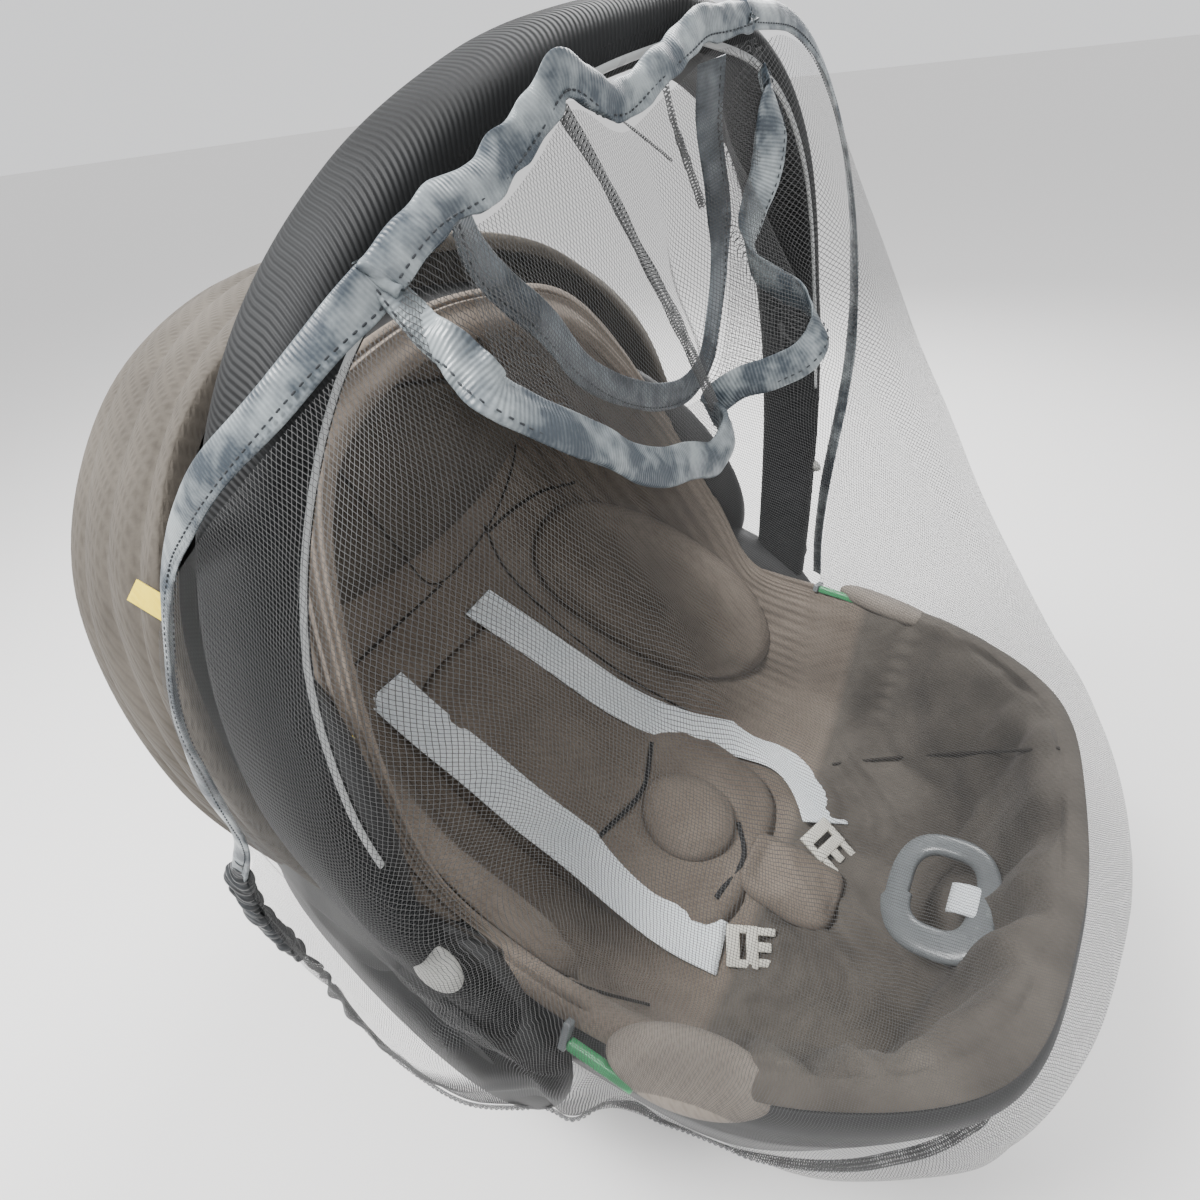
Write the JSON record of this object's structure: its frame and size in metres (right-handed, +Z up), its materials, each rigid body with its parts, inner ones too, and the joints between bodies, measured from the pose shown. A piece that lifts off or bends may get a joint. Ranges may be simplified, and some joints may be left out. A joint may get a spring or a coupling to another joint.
{
  "type": "mosquito net stretched over an infant car seat",
  "caption": "Dark mosquito net with satin binding, gathered over the handle and rim of a padded infant car seat to keep insects out.",
  "frame": {"origin": "on the floor under the seat, on the flat of the seat's underside", "axes": "+X towards the foot end, +Y towards the side away from the camera, +Z up"},
  "size_m": [0.5959, 0.4589, 0.6035],
  "materials": {
    "net": "matt knitted net",
    "tape": "satin",
    "shell": "grained",
    "cover": "woven",
    "handle": "grained",
    "cap": "matt",
    "plate": "satin",
    "strap": "woven webbing",
    "tongue": "satin",
    "guide": "satin"
  },
  "bodies": {
    "root": {"net_front_panel": "net", "net_upper_flap": "net", "edge_binding": "tape", "panel_binding": "tape", "flap_binding": "tape", "seat_shell": "shell", "seat_pad": "cover", "seat_inlay": "cover", "headrest_pad": "cover", "side_pad_near": "cover", "side_pad_far": "cover", "rim_pad_near": "cover", "rim_pad_far": "cover", "canopy_fold": "cover", "buckle_pad": "cover", "crotch_pad": "cover", "handle": "handle", "handle_cap_near": "cap", "handle_cap_far": "cap", "adjuster_plate": "plate", "shoulder_strap_near": "strap", "shoulder_strap_far": "strap", "strap_tongue_near": "tongue", "strap_tongue_far": "tongue", "belt_guide_near": "guide", "belt_guide_far": "guide"}
  },
  "joints": []
}
